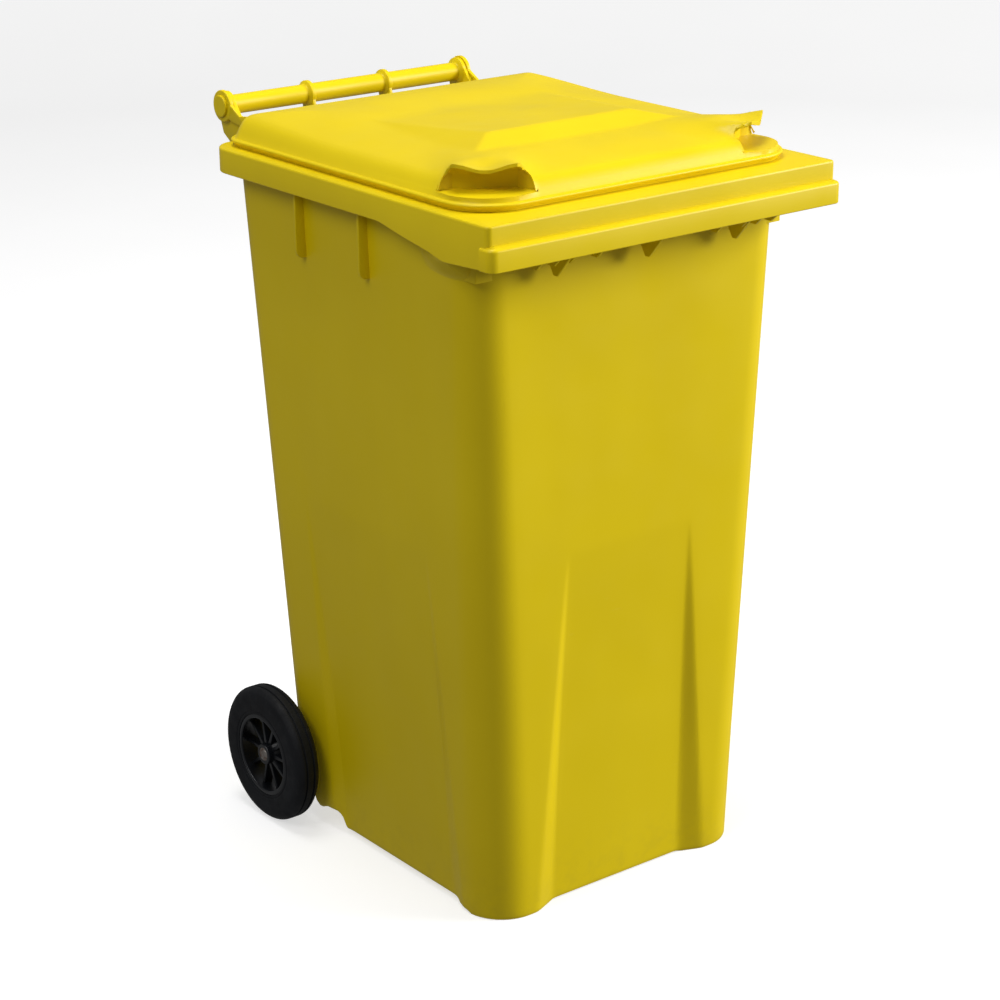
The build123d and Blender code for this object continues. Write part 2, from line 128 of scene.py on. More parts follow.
def place(p):
    """A point in the drawing's millimetres as a point of the frame."""
    return Vector((p[0] * MM, p[1] * MM + FRONT, p[2] * MM))


def blend(a, b, t):
    return a + (b - a) * t


def smooth(a, b, value):
    """0 before a, 1 after b, and an S-curve between them."""
    t = min(1.0, max(0.0, (value - a) / (b - a)))
    return t * t * (3 - 2 * t)


def ramp(u, k):
    """0 below 0, 1 above 1, a straight slope between them, and corners rounded over k."""
    return 0.5 * (math.sqrt(u * u + k * k) - math.sqrt((u - 1) ** 2 + k * k) + 1)


def soft_min(a, b, k):
    """The smaller of two heights, with the crease between them rounded over k."""
    h = max(k - abs(a - b), 0.0) / k
    return min(a, b) - h * h * k / 4


def soft_max(a, b, k):
    return -soft_min(-a, -b, k)


def along(points, value):
    """Straight-line interpolation through (position, value) points."""
    if value <= points[0][0]:
        return points[0][1]
    for (x0, y0), (x1, y1) in zip(points, points[1:]):
        if value <= x1:
            return blend(y0, y1, (value - x0) / (x1 - x0))
    return points[-1][1]


def spread(stops, counts):
    """Points from stop to stop, with so many steps between each two."""
    points = []
    for a, b, n in zip(stops, stops[1:], counts):
        points += [blend(a, b, k / n) for k in range(n)]
    return points + [stops[-1]]


# ---------------------------------------------------------------- mesh building


def mesh_piece(name, bm, material, body, nodes=(), sharp=32):
    """Make a piece of a bmesh drawn in millimetres, and tell the frame what it rides on."""
    for v in bm.verts:
        v.co = place(v.co)
    bmesh.ops.recalc_face_normals(bm, faces=bm.faces)
    mesh = bpy.data.meshes.new(name)
    bm.to_mesh(mesh)
    bm.free()
    mesh.shade_smooth()
    mesh.set_sharp_from_angle(angle=math.radians(sharp))
    mesh.materials.append(material)
    piece = bpy.data.objects.new(name, mesh)
    bpy.context.scene.collection.objects.link(piece)
    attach(piece, body)
    if nodes:
        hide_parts(*nodes)
    return piece


def skin(bm, rings, closed_ring=True, closed_loop=False, caps=False):
    """Faces between successive rings of points that have the same count."""
    rows = [[bm.verts.new(p) for p in ring] for ring in rings]
    count = len(rows[0])
    pairs = list(zip(rows, rows[1:]))
    if closed_loop:
        pairs.append((rows[-1], rows[0]))
    for low, high in pairs:
        for i in range(count if closed_ring else count - 1):
            j = (i + 1) % count
            bm.faces.new((low[i], low[j], high[j], high[i]))
    if caps:
        if closed_loop:
            bm.faces.new([row[0] for row in reversed(rows)])
            bm.faces.new([row[-1] for row in rows])
        else:
            bm.faces.new(list(reversed(rows[0])))
            bm.faces.new(rows[-1])
    return rows


def plan(half, front, rear, rf, rr, front_x, side_y, rear_n=16, corner_n=12):
    """A rounded rectangle seen from above, as (x, y, outward x, outward y) points."""
    points = [(x, front, 0.0, -1.0) for x in front_x]

    def corner(cx, cy, r, start):
        for k in range(1, corner_n):
            a = math.radians(start + 90 * k / corner_n)
            points.append((cx + r * math.cos(a), cy + r * math.sin(a), math.cos(a), math.sin(a)))

    corner(half - rf, front + rf, rf, -90)
    points.extend((half, y, 1.0, 0.0) for y in side_y)
    corner(half - rr, rear - rr, rr, 0)
    points.extend((blend(half - rr, rr - half, k / rear_n), rear, 0.0, 1.0) for k in range(rear_n + 1))
    corner(rr - half, rear - rr, rr, 90)
    points.extend((-half, y, -1.0, 0.0) for y in reversed(side_y))
    corner(rf - half, front + rf, rf, 180)
    return points


def bevel_all(bm, size, angle=30):
    """Round the sharp edges of a bmesh a little, as a mould does."""
    edges = [e for e in bm.edges if e.is_manifold and e.calc_face_angle(0) > math.radians(angle)]
    bmesh.ops.bevel(bm, geom=edges, offset=size, segments=2, profile=0.6, affect="EDGES", clamp_overlap=True)


def prism(bm, points, x0, x1, size=0.8):
    """A flat plate across the width with rounded edges: an outline of (y, z) points."""
    part = bmesh.new()
    skin(part, [[(x, y, z) for y, z in points] for x in (x0, x1)], caps=True)
    bmesh.ops.recalc_face_normals(part, faces=part.faces)
    bevel_all(part, size)
    merge(bm, part)


def merge(bm, part):
    """Add one bmesh to another."""
    mesh = bpy.data.meshes.new("part")
    part.to_mesh(mesh)
    part.free()
    bm.from_mesh(mesh)
    bpy.data.meshes.remove(mesh)


def round_ring(x, y, radius, z, count):
    """A level circle of points."""
    turns = [2 * math.pi * k / count for k in range(count)]
    return [(x + radius * math.cos(t), y + radius * math.sin(t), z) for t in turns]


def lathe(bm, profile, y, z, segments=96, side=1):
    """Turn a closed outline of (x, radius) points about the line across the width at (y, z)."""
    rings = []
    for k in range(segments):
        a = 2 * math.pi * k / segments
        rings.append([(side * x, y + r * math.sin(a), z + r * math.cos(a)) for x, r in profile])
    skin(bm, rings, closed_loop=True)


def arc_profile(corners, steps=4):
    """An outline of (x, radius, rounding) corners with each corner turned into a small arc."""
    points = []
    n = len(corners)
    for i, (x, r, size) in enumerate(corners):
        p = Vector((x, r))
        if size <= 0:
            points.append((x, r))
            continue
        a = (Vector(corners[i - 1][:2]) - p).normalized()
        b = (Vector(corners[(i + 1) % n][:2]) - p).normalized()
        for k in range(steps + 1):
            t = k / steps
            q = p + a * size * (1 - t) ** 2 + b * size * t ** 2
            points.append((q.x, q.y))
    return points


# ---------------------------------------------------------------- materials


class Paint:
    """A material's node tree, with short calls for the nodes that the materials share."""

    def __init__(self, name):
        self.material = bpy.data.materials.new(name)
        self.material.use_nodes = True
        self.tree = self.material.node_tree
        self.tree.nodes.clear()
        self.shader = self.tree.nodes.new("ShaderNodeBsdfPrincipled")
        out = self.tree.nodes.new("ShaderNodeOutputMaterial")
        self.tree.links.new(self.shader.outputs["BSDF"], out.inputs["Surface"])
        self.where = self.tree.nodes.new("ShaderNodeTexCoord").outputs["Object"]

    def set(self, **values):
        for key, value in values.items():
            self.shader.inputs[key.replace("_", " ")].default_value = value

    def link(self, a, b):
        self.tree.links.new(a, b)

    def noise(self, scale, detail=3.0, roughness=0.5, stretch=(1, 1, 1)):
        at = self.where
        if stretch != (1, 1, 1):
            mapping = self.tree.nodes.new("ShaderNodeMapping")
            mapping.inputs["Scale"].default_value = stretch
            self.link(at, mapping.inputs["Vector"])
            at = mapping.outputs["Vector"]
        made = self.tree.nodes.new("ShaderNodeTexNoise")
        made.inputs["Scale"].default_value = scale
        made.inputs["Detail"].default_value = detail
        made.inputs["Roughness"].default_value = roughness
        self.link(at, made.inputs["Vector"])
        return made.outputs["Fac"]

    def remap(self, value, low, high, to_low=0.0, to_high=1.0):
        made = self.tree.nodes.new("ShaderNodeMapRange")
        for key, number in (("From Min", low), ("From Max", high), ("To Min", to_low), ("To Max", to_high)):
            made.inputs[key].default_value = number
        self.link(value, made.inputs["Value"])
        return made.outputs["Result"]

    def math(self, kind, a, b):
        made = self.tree.nodes.new("ShaderNodeMath")
        made.operation = kind
        for socket, value in zip(made.inputs, (a, b)):
            if isinstance(value, (int, float)):
                socket.default_value = value
            else:
                self.link(value, socket)
        return made.outputs["Value"]

    def mix(self, share, a, b):
        made = self.tree.nodes.new("ShaderNodeMix")
        made.data_type = "RGBA"
        if isinstance(share, (int, float)):
            made.inputs["Factor"].default_value = share
        else:
            self.link(share, made.inputs["Factor"])
        for socket, value in ((made.inputs[6], a), (made.inputs[7], b)):
            if isinstance(value, tuple):
                socket.default_value = (*value, 1.0)
            else:
                self.link(value, socket)
        return made.outputs[2]

    def height(self):
        parts = self.tree.nodes.new("ShaderNodeSeparateXYZ")
        self.link(self.where, parts.inputs["Vector"])
        return parts.outputs["Z"]

    def bump(self, *layers):
        """Bumps of (height value, depth in metres), one on top of the other."""
        normal = None
        for value, depth in layers:
            made = self.tree.nodes.new("ShaderNodeBump")
            made.inputs["Strength"].default_value = 1.0
            made.inputs["Distance"].default_value = depth
            self.link(value, made.inputs["Height"])
            if normal is not None:
                self.link(normal, made.inputs["Normal"])
            normal = made.outputs["Normal"]
        self.link(normal, self.shader.inputs["Normal"])


def moulded_yellow():
    """Satin injection-moulded polyethylene: even yellow, fine grain, faint flow marks and light scuffs."""
    p = Paint("bin_plastic")
    p.set(Metallic=0.0, IOR=1.5)
    p.shader.inputs["Specular IOR Level"].default_value = 0.25
    cloud = p.remap(p.noise(3.0, 3.0), 0.35, 0.68)
    flow = p.remap(p.noise(9.0, 2.0, stretch=(1, 1, 0.12)), 0.4, 0.7)
    base = p.mix(cloud, (0.745, 0.560, 0.0015), (0.785, 0.595, 0.0025))
    base = p.mix(p.math("MULTIPLY", flow, 0.35), base, (0.71, 0.525, 0.0015))
    # Patchy darker yellow towards the bottom edge, fading out over the lowest 10 cm.
    bottom_fade = p.remap(p.height(), 0.0, 0.10, 1.0, 0.0)
    bottom_darkening = p.math("MULTIPLY", bottom_fade, p.remap(p.noise(45.0, 6.0, 0.6), 0.45, 0.75))
    base = p.mix(p.math("MULTIPLY", bottom_darkening, 0.18), base, (0.36, 0.27, 0.03))
    scratch = p.remap(p.noise(26.0, 4.0, 0.65, stretch=(1, 1, 14)), 0.66, 0.74)
    scratch_area = p.remap(p.noise(5.0, 2.0), 0.52, 0.66)
    scuff = p.math("MULTIPLY", scratch, scratch_area)
    base = p.mix(p.math("MULTIPLY", scuff, 0.22), base, (0.82, 0.70, 0.10))
    p.link(base, p.shader.inputs["Base Color"])
    rough = p.remap(p.noise(14.0, 4.0), 0.3, 0.7, 0.34, 0.46)
    rough = p.math("ADD", rough, p.math("MULTIPLY", scuff, 0.18))
    p.link(rough, p.shader.inputs["Roughness"])
    grain = p.noise(1400.0, 2.0, 0.6)
    waves = p.noise(7.0, 1.0)
    p.bump((waves, 0.0016), (grain, 0.000035), (scuff, -0.00012))
    return p.material


def tyre_rubber():
    """Dull black rubber with a bluish bloom and dust in its pores."""
    p = Paint("tyre_rubber")
    p.shader.inputs["Specular IOR Level"].default_value = 0.22
    bloom = p.remap(p.noise(22.0, 4.0), 0.35, 0.7)
    base = p.mix(bloom, (0.0045, 0.0050, 0.0065), (0.0075, 0.0085, 0.011))
    dust = p.remap(p.noise(260.0, 5.0, 0.65), 0.56, 0.74)
    base = p.mix(p.math("MULTIPLY", dust, 0.22), base, (0.055, 0.052, 0.048))
    p.link(base, p.shader.inputs["Base Color"])
    p.link(p.remap(p.noise(60.0, 4.0), 0.3, 0.7, 0.52, 0.72), p.shader.inputs["Roughness"])
    p.bump((p.noise(900.0, 3.0, 0.6), 0.00008), (p.noise(90.0, 3.0), 0.0002))
    return p.material


def wheel_black():
    """Black moulded wheel plastic, smoother than the tyre."""
    p = Paint("wheel_plastic")
    base = p.mix(p.remap(p.noise(30.0, 3.0), 0.35, 0.7), (0.0035, 0.0042, 0.0060), (0.0065, 0.0075, 0.0100))
    p.link(base, p.shader.inputs["Base Color"])
    p.link(p.remap(p.noise(40.0, 4.0), 0.3, 0.7, 0.26, 0.42), p.shader.inputs["Roughness"])
    p.bump((p.noise(1200.0, 2.0, 0.6), 0.00004))
    return p.material


def dull_steel():
    """Zinc-coated axle bar that has begun to brown."""
    p = Paint("axle_steel")
    p.set(Metallic=1.0)
    rust = p.remap(p.noise(120.0, 6.0, 0.65), 0.47, 0.72)
    base = p.mix(rust, (0.34, 0.31, 0.28), (0.13, 0.055, 0.028))
    p.link(base, p.shader.inputs["Base Color"])
    p.link(p.remap(rust, 0.0, 1.0, 0.36, 0.75), p.shader.inputs["Roughness"])
    p.bump((p.noise(500.0, 4.0, 0.6), 0.0001), (p.noise(60.0, 2.0, stretch=(0.1, 8, 8)), 0.00004))
    return p.material


def bright_steel():
    """Drawn spring and pin steel."""
    p = Paint("lock_steel")
    p.set(Metallic=1.0)
    base = p.mix(p.remap(p.noise(200.0, 3.0), 0.3, 0.7), (0.52, 0.52, 0.53), (0.62, 0.61, 0.60))
    p.link(base, p.shader.inputs["Base Color"])
    drawn = (6, 6, 0.5)
    rough = p.remap(p.noise(400.0, 3.0, stretch=drawn), 0.3, 0.7, 0.22, 0.38)
    p.link(rough, p.shader.inputs["Roughness"])
    p.bump((p.noise(900.0, 2.0, stretch=drawn), 0.00003))
    return p.material


def chip_black():
    """The transponder's sealed resin case."""
    p = Paint("chip_plastic")
    base = p.mix(p.remap(p.noise(80.0, 2.0), 0.3, 0.7), (0.012, 0.012, 0.012), (0.02, 0.02, 0.02))
    p.link(base, p.shader.inputs["Base Color"])
    p.link(p.remap(p.noise(50.0, 3.0), 0.3, 0.7, 0.18, 0.3), p.shader.inputs["Roughness"])
    p.bump((p.noise(600.0, 2.0), 0.00003))
    return p.material


yellow = moulded_yellow()
rubber = tyre_rubber()
black = wheel_black()
steel = dull_steel()
bright = bright_steel()
resin = chip_black()


# ---------------------------------------------------------------- body


def wall_at(z):
    """Half width, front and rear of the tub at a height."""
    t = (z - LOW_Z) / (HIGH_Z - LOW_Z)
    return blend(*HALF_WIDTH, t), blend(*FRONT_Y, t), blend(*REAR_Y, t)


def corner_at(z):
    """The radius of the tub's front corners at a height."""
    return blend(*FRONT_CORNER, (z - LOW_Z) / (HIGH_Z - LOW_Z))


def front_crease(z):
    """Outer and inner edge of the front recess's sloping sides."""
    t = max(0.0, (RECESS_TOP - z) / RECESS_TOP)
    outer = blend(*FRONT_CREASE_X, t)
    return outer, outer - blend(*FRONT_CREASE_WIDTH, t)


def side_crease(z):
    """The four y positions of the side recess's sloping ends."""
    t = max(0.0, (RECESS_TOP - z) / RECESS_TOP)
    wide = blend(*SIDE_CREASE_WIDTH, t)
    front = blend(*SIDE_CREASE_FRONT, t)
    rear = blend(*SIDE_CREASE_REAR, t)
    return front, front + wide, rear - wide, rear


def recess(z, deep):
    """How deep a recess is at a height: nothing above its top, and soon deep under it."""
    t = min(1.0, max(0.0, (RECESS_TOP - z) / RECESS_TOP))
    return deep * (1 - (1 - t) ** 1.8)


def tub_side(y, z):
    """How far out the tub's side is at a depth and a height, round its front corner too."""
    half, front = wall_at(z)[:2]
    radius = corner_at(z)
    over = min(radius, max(0.0, front + radius - y))
    return half - radius + math.sqrt(radius ** 2 - over ** 2)


def shoulder(bm, side):
    """The swelling that carries the side wall out to the deep front end of the rim's skirt."""
    low, high = 884.0, 948.0
    rings = []
    for y in spread([80.0, 96.0, 112.0, 190.0], [6, 4, 16]):
        reach = smooth(81, 96, y) * (1 - smooth(110, 188, y))
        ring = [(side * (tub_side(y, low) - 2.5), y, low), (side * (tub_side(y, high) - 2.5), y, high)]
        for z in spread([high, 934.0, low], [3, 14]):
            wall = tub_side(y, z) - 0.8
            ring.append((side * blend(wall, RIM_HALF - 0.6, reach * smooth(892, 932, z)), y, z))
        rings.append(ring)
    part = bmesh.new()
    skin(part, rings, caps=True)
    bmesh.ops.recalc_face_normals(part, faces=part.faces)
    merge(bm, part)


def corner_block(bm, side):
    """The short square corner that stands out from the tub's rounded one under the lip."""
    x, y = 254.0, 77.0
    corner = [(222.8, y), (x - 3, y), (x - 0.9, y + 0.9), (x, y + 3), (x, 106.4)]
    rings = []
    for z in (897.0, 962.0):
        half, front = wall_at(z)[:2]
        radius = corner_at(z)
        in_wall = radius - 2.2
        ring = list(corner)
        for degrees in (-25, -35, -45, -55, -65):
            turn = math.radians(degrees)
            ring.append((half - radius + in_wall * math.cos(turn), front + radius + in_wall * math.sin(turn)))
        rings.append([(side * a, b, z) for a, b in ring])
    part = bmesh.new()
    skin(part, rings, caps=True)
    bmesh.ops.recalc_face_normals(part, faces=part.faces)
    merge(bm, part)


def tub_row(inset, heights):
    """One ring of the tub. heights gives the height of each column, or one height for all."""
    flat = isinstance(heights, float)
    level = heights if flat else EDGE_ZONE
    outer, inner = front_crease(level)
    f0, f1, r0, r1 = side_crease(level)
    half, front, rear = wall_at(level)
    rf = corner_at(level) - inset
    rr = REAR_CORNER - inset
    edge = half - inset - rf
    turns = [-edge, -outer - 4, -outer, -inner, -inner + 4, inner - 4, inner, outer, outer + 4, edge]
    front_x = spread(turns, [6, 2, 5, 2, 22, 2, 5, 2, 6])
    side_y = spread([front + inset + rf, f0 - 4, f0, f1, f1 + 4, r0 - 4, r0, r1, r1 + 4, rear - inset - rr],
                    [8, 2, 4, 2, 24, 2, 4, 2, 8])
    outline = plan(half - inset, front + inset, rear - inset, rf, rr, front_x, side_y)
    ring = []
    for i, (x, y, nx, ny) in enumerate(outline):
        z = level if flat else heights[i]
        if z != level:
            here, there = wall_at(z), wall_at(level)
            x += math.copysign(1.0, x) * (here[0] - there[0]) * min(1.0, abs(x) / edge)
            y += blend(here[1] - there[1], here[2] - there[2], smooth(front, rear, y))
            outer, inner = front_crease(z)
            f0, f1, r0, r1 = side_crease(z)
        if ny < -0.99:
            share = ramp((outer - abs(x)) / (outer - inner), CREASE_ROUNDING / (outer - inner))
            y += recess(z, FRONT_RECESS) * share
        if abs(nx) > 0.99:
            share = ramp((y - f0) / (f1 - f0), CREASE_ROUNDING / (f1 - f0))
            share *= ramp((r1 - y) / (r1 - r0), CREASE_ROUNDING / (r1 - r0))
            x -= math.copysign(recess(z, SIDE_RECESS) * share, nx)
        ring.append((x, y, z))
    return ring


def base_edge(x, y):
    """The height of the tub's lower edge: feet, front edge, base line, wheel arch and axle trough."""
    if y > 500:
        return along([(506, 24), (514, 40), (532, TROUGH_Z)], y)
    foot = (1 - smooth(FOOT_Y - 8, FOOT_Y + 8, y)) * smooth(FOOT_X - 9, FOOT_X + 9, abs(x))
    arch = along([(434, 0), (444, 18), (458, 23), (483, 21), (506, 10)], y)
    line = blend(FRONT_EDGE_Z, BASE_Z, smooth(106, 118, y))
    return (line + arch) * (1 - foot)


def tub(bm):
    """The tapered tub as a closed skin with an outside, an inside and a rounded lower edge."""
    edge = [base_edge(x, y) for x, y, z in tub_row(0.0, 12.0)]
    levels = [EDGE_ZONE, 480.0, 520.0, 860.0, 940.0, 983.0]
    rings = [tub_row(2.2, edge), tub_row(0.7, [b + 0.7 for b in edge])]
    for share in spread([0.015, 0.1, 1.0], [3, 10])[:-1]:
        rings.append(tub_row(0.0, [blend(b, EDGE_ZONE, share) for b in edge]))
    rings += [tub_row(0.0, z) for z in spread(levels, [24, 6, 20, 16, 5])]
    rings += [tub_row(inset, 984.2) for inset in (1.2, 2.8)]
    rings += [tub_row(WALL, z) for z in reversed(spread(levels, [12, 4, 10, 8, 4]))]
    for share in (0.6, 0.25, 0.03):
        rings.append(tub_row(WALL, [blend(b, EDGE_ZONE, share) for b in edge]))
    skin(bm, rings, closed_loop=True)


def floor_plate(bm, z0, z1, y0, y1, x_min=0.0, side=0):
    """A plate of the floor that follows the tub's plan between two depths, or one foot's block."""
    ring = tub_row(2.0, (z0 + z1) / 2)
    points = [(x, y) for x, y, z in ring if y0 < y < y1 and (not side or x * side > x_min)]
    if side:
        points.append((side * x_min, y1))
        front_end = min(points, key=lambda p: (p[1] > y1 - 20, abs(p[0])))
        points.append((side * x_min, front_end[1] + 1.0))
        cx = sum(p[0] for p in points) / len(points)
        cy = sum(p[1] for p in points) / len(points)
        points.sort(key=lambda p: math.atan2(p[1] - cy, p[0] - cx))
    part = bmesh.new()
    skin(part, [[(x, y, z) for x, y in points] for z in (z0, z1)], caps=True)
    bmesh.ops.recalc_face_normals(part, faces=part.faces)
    merge(bm, part)


def rim_skirt_bottom(y):
    """The lower edge of the rim's skirt, which drops towards the front corners."""
    if y < RIM_FRONT + 4:
        return LIP_TOP - 5
    return along([(14, LIP_BOTTOM + 0.5), (100, 925), (129, 932), (183, 941), (234, RIM_BOTTOM)], y)


def rim(bm):
    """The turned-over rim: skirt, rounded top edge and top plate down to the tub's wall."""
    half_in, front_in, rear_in = wall_at(RIM_TOP)

    def outer(inset):
        rf, rr = RIM_FRONT_CORNER - inset, RIM_REAR_CORNER - inset
        edge = RIM_HALF - inset - rf
        xs = spread([-edge, edge], [48])
        ys = spread([RIM_FRONT + inset + rf, 60, 240, RIM_REAR - inset - rr], [6, 24, 20])
        return plan(RIM_HALF - inset, RIM_FRONT + inset, RIM_REAR - inset, rf, rr, xs, ys, corner_n=10)

    def inner():
        rf, rr = corner_at(RIM_TOP) - 2, REAR_CORNER - 2
        edge = half_in - 2 - rf
        xs = spread([-edge, edge], [48])
        ys = spread([front_in + 2 + rf, 140, 260, rear_in - 2 - rr], [6, 24, 20])
        return plan(half_in - 2, front_in + 2, rear_in - 2, rf, rr, xs, ys, corner_n=10)

    def at(ring, z):
        return [(x, y, z) for x, y, nx, ny in ring]

    def hem(inset, lift):
        return [(x, y, rim_skirt_bottom(y) + lift) for x, y, nx, ny in outer(inset)]

    top = RIM_TOP
    rings = [hem(0.9, 0.0), hem(0.0, 0.9), at(outer(0.0), top - 3.0), at(outer(0.35), top - 1.4),
             at(outer(1.2), top - 0.4), at(outer(2.8), top), at(inner(), top), at(inner(), top - 5),
             at(outer(5.0), top - 5), at(outer(4.0), top - 6), hem(4.0, 0.9), hem(3.1, 0.0)]
    skin(bm, rings, closed_loop=True)


def lower_step(bm):
    """The lower, wider step of the comb lip, with its short returns round the corners."""
    back = LIP_BACK

    def path(inset):
        r = LIP_CORNER - inset
        half = LIP_HALF - inset
        points = [(-half, back), (-half, inset + r)]
        for k in range(1, 8):
            a = math.radians(180 + 90 * k / 8)
            points.append((-half + r + r * math.cos(a), inset + r + r * math.sin(a)))
        points += [(x, inset) for x in spread([-half + r, half - r], [24])]
        for k in range(1, 8):
            a = math.radians(270 + 90 * k / 8)
            points.append((half - r + r * math.cos(a), inset + r + r * math.sin(a)))
        return points + [(half, inset + r), (half, back)]

    def at(inset, z):
        return [(x, y, z) for x, y in path(inset)]

    rings = [at(1.0, LIP_BOTTOM), at(0.0, LIP_BOTTOM + 1.0), at(0.0, LIP_TOP - 4.4), at(0.5, LIP_TOP - 2.8),
             at(1.8, LIP_TOP - 1.5), at(3.4, LIP_TOP - 0.7), at(12.5, LIP_TOP + 2.6), at(12.5, LIP_TOP - 5),
             at(4.5, LIP_TOP - 5), at(4.0, LIP_TOP - 6), at(4.0, LIP_BOTTOM + 1.0), at(3.2, LIP_BOTTOM)]
    skin(bm, rings, closed_ring=False, closed_loop=True, caps=True)


def lip_ribs(bm):
    """The gussets and comb ribs inside the lip."""
    wall = wall_at(HIGH_Z)[1] + 2
    gusset = [(10, 938), (10, 956), (20, 980), (wall, 980), (wall, 926), (55, 895), (48, 895)]
    for x in GUSSET_X:
        prism(bm, gusset, x - 2, x + 2)
    for side in (1, -1):
        for x in COMB_RIB_X:
            low = 914 if x < 200 else 928
            edges = sorted((side * (x - 1.8), side * (x + 1.8)))
            prism(bm, [(10, 934), (10, 956), (20, 980), (48, 980), (44, low), (32, low)], *edges)


def side_rib(bm, y, side):
    """One upright rib under the rim, tapering off at its foot."""
    low, top = 860, 980
    outer = wall_at(HIGH_Z)[0] + 13
    points = [(wall_at(low)[0] - 2, low), (outer - 7, low + 1), (outer - 2, low + 5), (outer, low + 12),
              (outer, top), (wall_at(top)[0] - 2, top)]
    part = bmesh.new()
    skin(part, [[(side * a, b, z) for a, z in points] for b in (y - 2.5, y + 2.5)], caps=True)
    bmesh.ops.recalc_face_normals(part, faces=part.faces)
    bevel_all(part, 0.9)
    merge(bm, part)


def round_eye(radius, angles):
    """Points of (y, z) on a circle about the handle bar."""
    turns = [math.radians(a) for a in angles]
    return [(HANDLE_Y + radius * math.cos(t), HANDLE_Z + radius * math.sin(t)) for t in turns]


def handle(bm):
    """The handle bar, its ring collars, the webs and cheeks that carry it, and the cheeks' ribs."""
    y, z = HANDLE_Y, HANDLE_Z
    r, w = BAR_RADIUS, WEB_RADIUS
    pin_end = 150.0
    bar = [(0.0, r, 0), (WEB_X - 5.5, r, 1.5), (WEB_X - 3.0, w, 1.0), (WEB_X + 3.0, w, 1.0),
           (WEB_X + 5.5, r, 1.5), (CHEEK_X[0] - 3, r, 1.5), (CHEEK_X[0], CHEEK_RADIUS, 1.0),
           (CHEEK_X[1], CHEEK_RADIUS, 1.0), (CHEEK_X[1], PIN_RADIUS, 0), (pin_end, PIN_RADIUS, 0),
           (pin_end, 4.0, 0), (0.0, 4.0, 0)]
    web = [(614, 953), (614, 979), (640, 980), (678, 979), (688, 985), (y - 18, z - 8), (y - 12, z + 8),
           (y + 11, z - 11), (y + 4, 980), (y - 12, 964), (668, 957)]
    cheek = [(614, 952), (614, 979), (634, 981), (676, 1001)] + round_eye(CHEEK_RADIUS, (160, 140, 120))
    cheek += [(y + 4, z + 12), (y + 18, z - 7), (y + 15, 992), (y + 9, 975), (y - 8, 964), (664, 954)]
    ribs = (((690, 1001), (650, 962)), ((700, 996), (672, 966)), ((708, 994), (692, 970)))
    for side in (1, -1):
        lathe(bm, arc_profile(bar), y, z, segments=72, side=side)
        edges = sorted((side * (WEB_X - 2.6), side * (WEB_X + 2.6)))
        prism(bm, web, *edges, size=1.0)
        edges = sorted((side * (CHEEK_X[0] + 0.4), side * (CHEEK_X[1] - 0.4)))
        prism(bm, cheek, *edges, size=1.0)
        edges = sorted((side * (CHEEK_X[0] - 7), side * (CHEEK_X[0] + 1)))
        for top, low in ribs:
            across = Vector((top[1] - low[1], low[0] - top[0])).normalized() * 1.6
            points = [(top[0] - across.x, top[1] - across.y), (top[0] + across.x, top[1] + across.y),
                      (low[0] + across.x, low[1] + across.y), (low[0] - across.x, low[1] - across.y)]
            prism(bm, points, *edges, size=0.6)


def axle_carrier(bm):
    """The trough's walls, the bracket ribs and the bosses that hold the axle."""
    inner = wall_at(AXLE_Z)[0] - 5
    prism(bm, [(TROUGH_Y - WALL, STEP_Z), (TROUGH_Y, STEP_Z), (TROUGH_Y, TROUGH_Z), (566, TROUGH_Z),
               (566, TROUGH_Z + WALL), (TROUGH_Y - WALL, TROUGH_Z + WALL)], -inner, inner, size=0.8)
    bore = 10.04

    def boss(x0, x1, side):
        lathe(bm, arc_profile([(x0, bore, 0), (x1, bore, 0), (x1, BOSS_RADIUS, 1.2), (x0, BOSS_RADIUS, 1.2)]),
              AXLE_Y, AXLE_Z, segments=48, side=side)

    def ear(x0, x1, side):
        y, z = AXLE_Y, AXLE_Z
        edges = sorted((side * x0, side * x1))
        prism(bm, [(TROUGH_Y - 1, 62), (TROUGH_Y - 1, TROUGH_Z + 1), (y + 2, TROUGH_Z + 1), (y + 12, z + 15),
                   (y - 12, z + 12), (y - 13, z - 11), (y + 4, z - 16)], *edges, size=0.8)

    for side in (1, -1):
        boss(inner - 16, 229.6, side)
        ear(inner - 3, inner + 2, side)
        for x in (50.0, 140.0):
            boss(x - 4, x + 4, side)
            ear(x - 3.6, x + 3.6, side)


def transponder_nest(bm):
    """The cup under the lip's top plate."""
    x, y = 120.5, 40.0
    low, top = RIM_TOP - 21.0, RIM_TOP - 4.0
    cup = ((18.0, top), (18.0, low + 1), (17.2, low), (15.6, low), (15.0, low + 1), (15.0, top))
    skin(bm, [round_ring(x, y, r, z, 40) for r, z in cup], closed_loop=True)


def body():
    bm = bmesh.new()
    tub(bm)
    floor_plate(bm, BASE_Z + 0.5, BASE_Z + WALL, 0, STEP_Y)
    floor_plate(bm, STEP_Z + 0.5, STEP_Z + WALL, STEP_Y - WALL, TROUGH_Y + 1)
    for side in (1, -1):
        floor_plate(bm, 0.3, BASE_Z + 2, 0, FOOT_Y - 10, x_min=FOOT_X + 9, side=side)
        for y in SIDE_RIB_Y:
            side_rib(bm, y, side)
        shoulder(bm, side)
        corner_block(bm, side)
    low, top = BASE_Z + 1, STEP_Z + 1
    prism(bm, [(STEP_Y - WALL, low), (STEP_Y, low), (STEP_Y, top), (STEP_Y - WALL, top)], -215, 215)
    rim(bm)
    lower_step(bm)
    lip_ribs(bm)
    handle(bm)
    axle_carrier(bm)
    transponder_nest(bm)
    mesh_piece("bin_body", bm, yellow, "bin", ["body"])


# ---------------------------------------------------------------- lid


def to_grip(x, y):
    """A place on the lid as (distance outwards, distance along) the nearer front corner's grip."""
    dx, dy = abs(x) - GRIP_X, y - GRIP_Y
    c, s = math.cos(GRIP_TURN), math.sin(GRIP_TURN)
    return dx * s - dy * c, dx * c + dy * s


